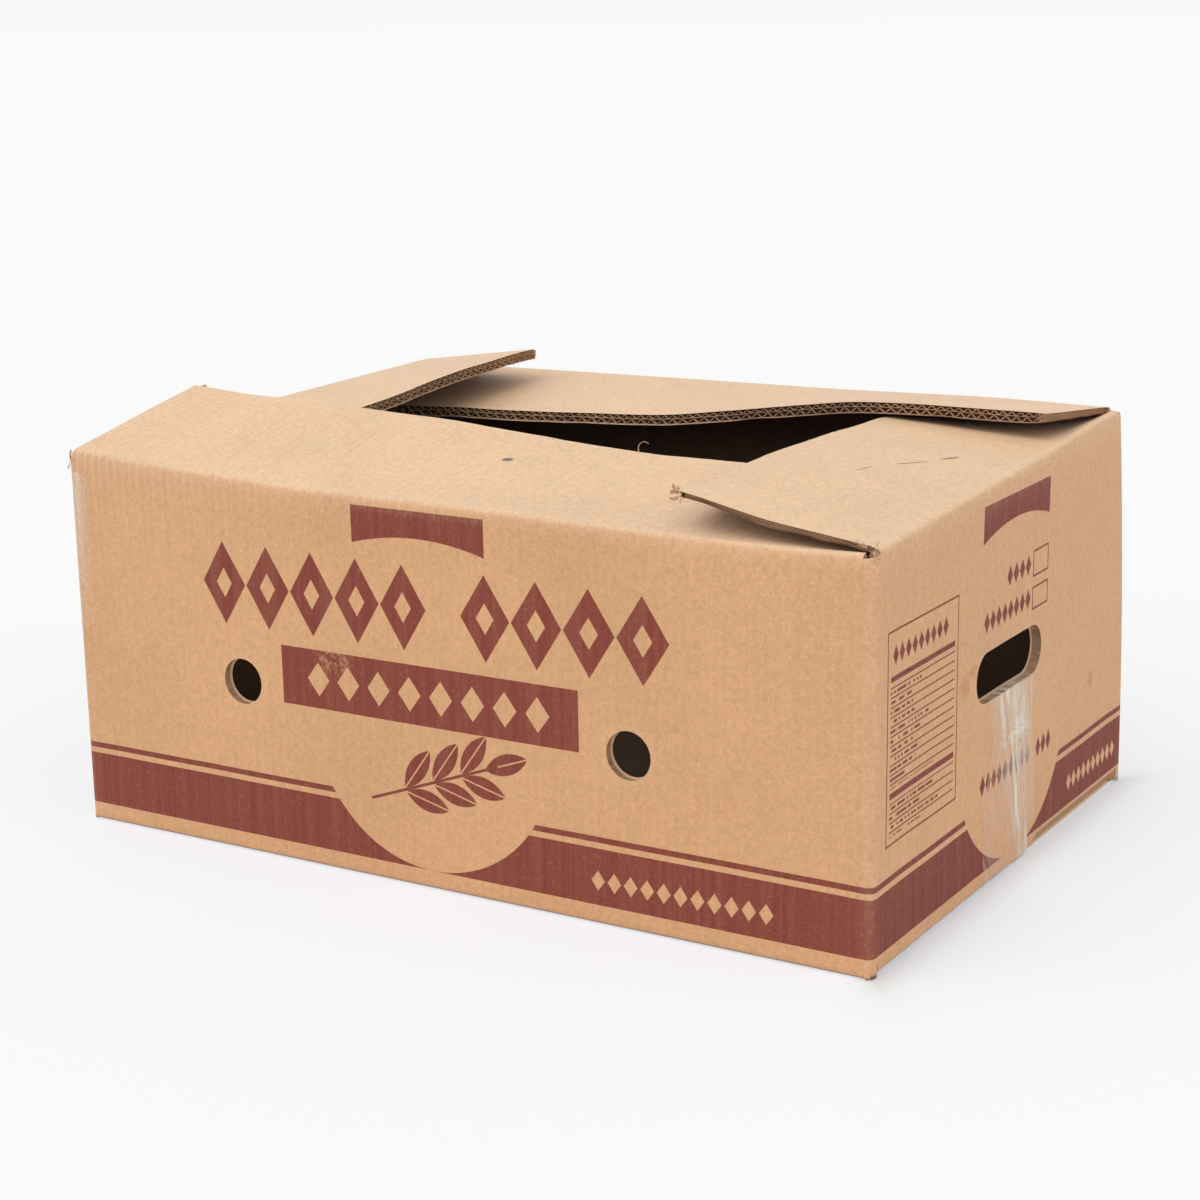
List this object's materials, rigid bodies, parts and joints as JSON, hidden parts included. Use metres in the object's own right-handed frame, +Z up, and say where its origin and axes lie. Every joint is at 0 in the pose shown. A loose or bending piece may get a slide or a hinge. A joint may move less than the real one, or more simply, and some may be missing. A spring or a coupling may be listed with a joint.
{
  "type": "corrugated produce carton",
  "caption": "Used double-wall corrugated carton with short top flaps tucked over and under each other, hand holes, vents and clear tape.",
  "frame": {"origin": "on the floor under the middle of the carton", "axes": "+X along the carton's length towards the taped end wall, +Y to the back wall, +Z up"},
  "size_m": [0.5506, 0.3882, 0.265],
  "materials": {
    "kraft_board": "matt brown kraft liner",
    "clear_tape": "clear glossy film"
  },
  "bodies": {
    "root": {"carton": "kraft_board", "seam_tape": "clear_tape", "patch_tape": "clear_tape", "corner_tape": "clear_tape"}
  },
  "joints": []
}
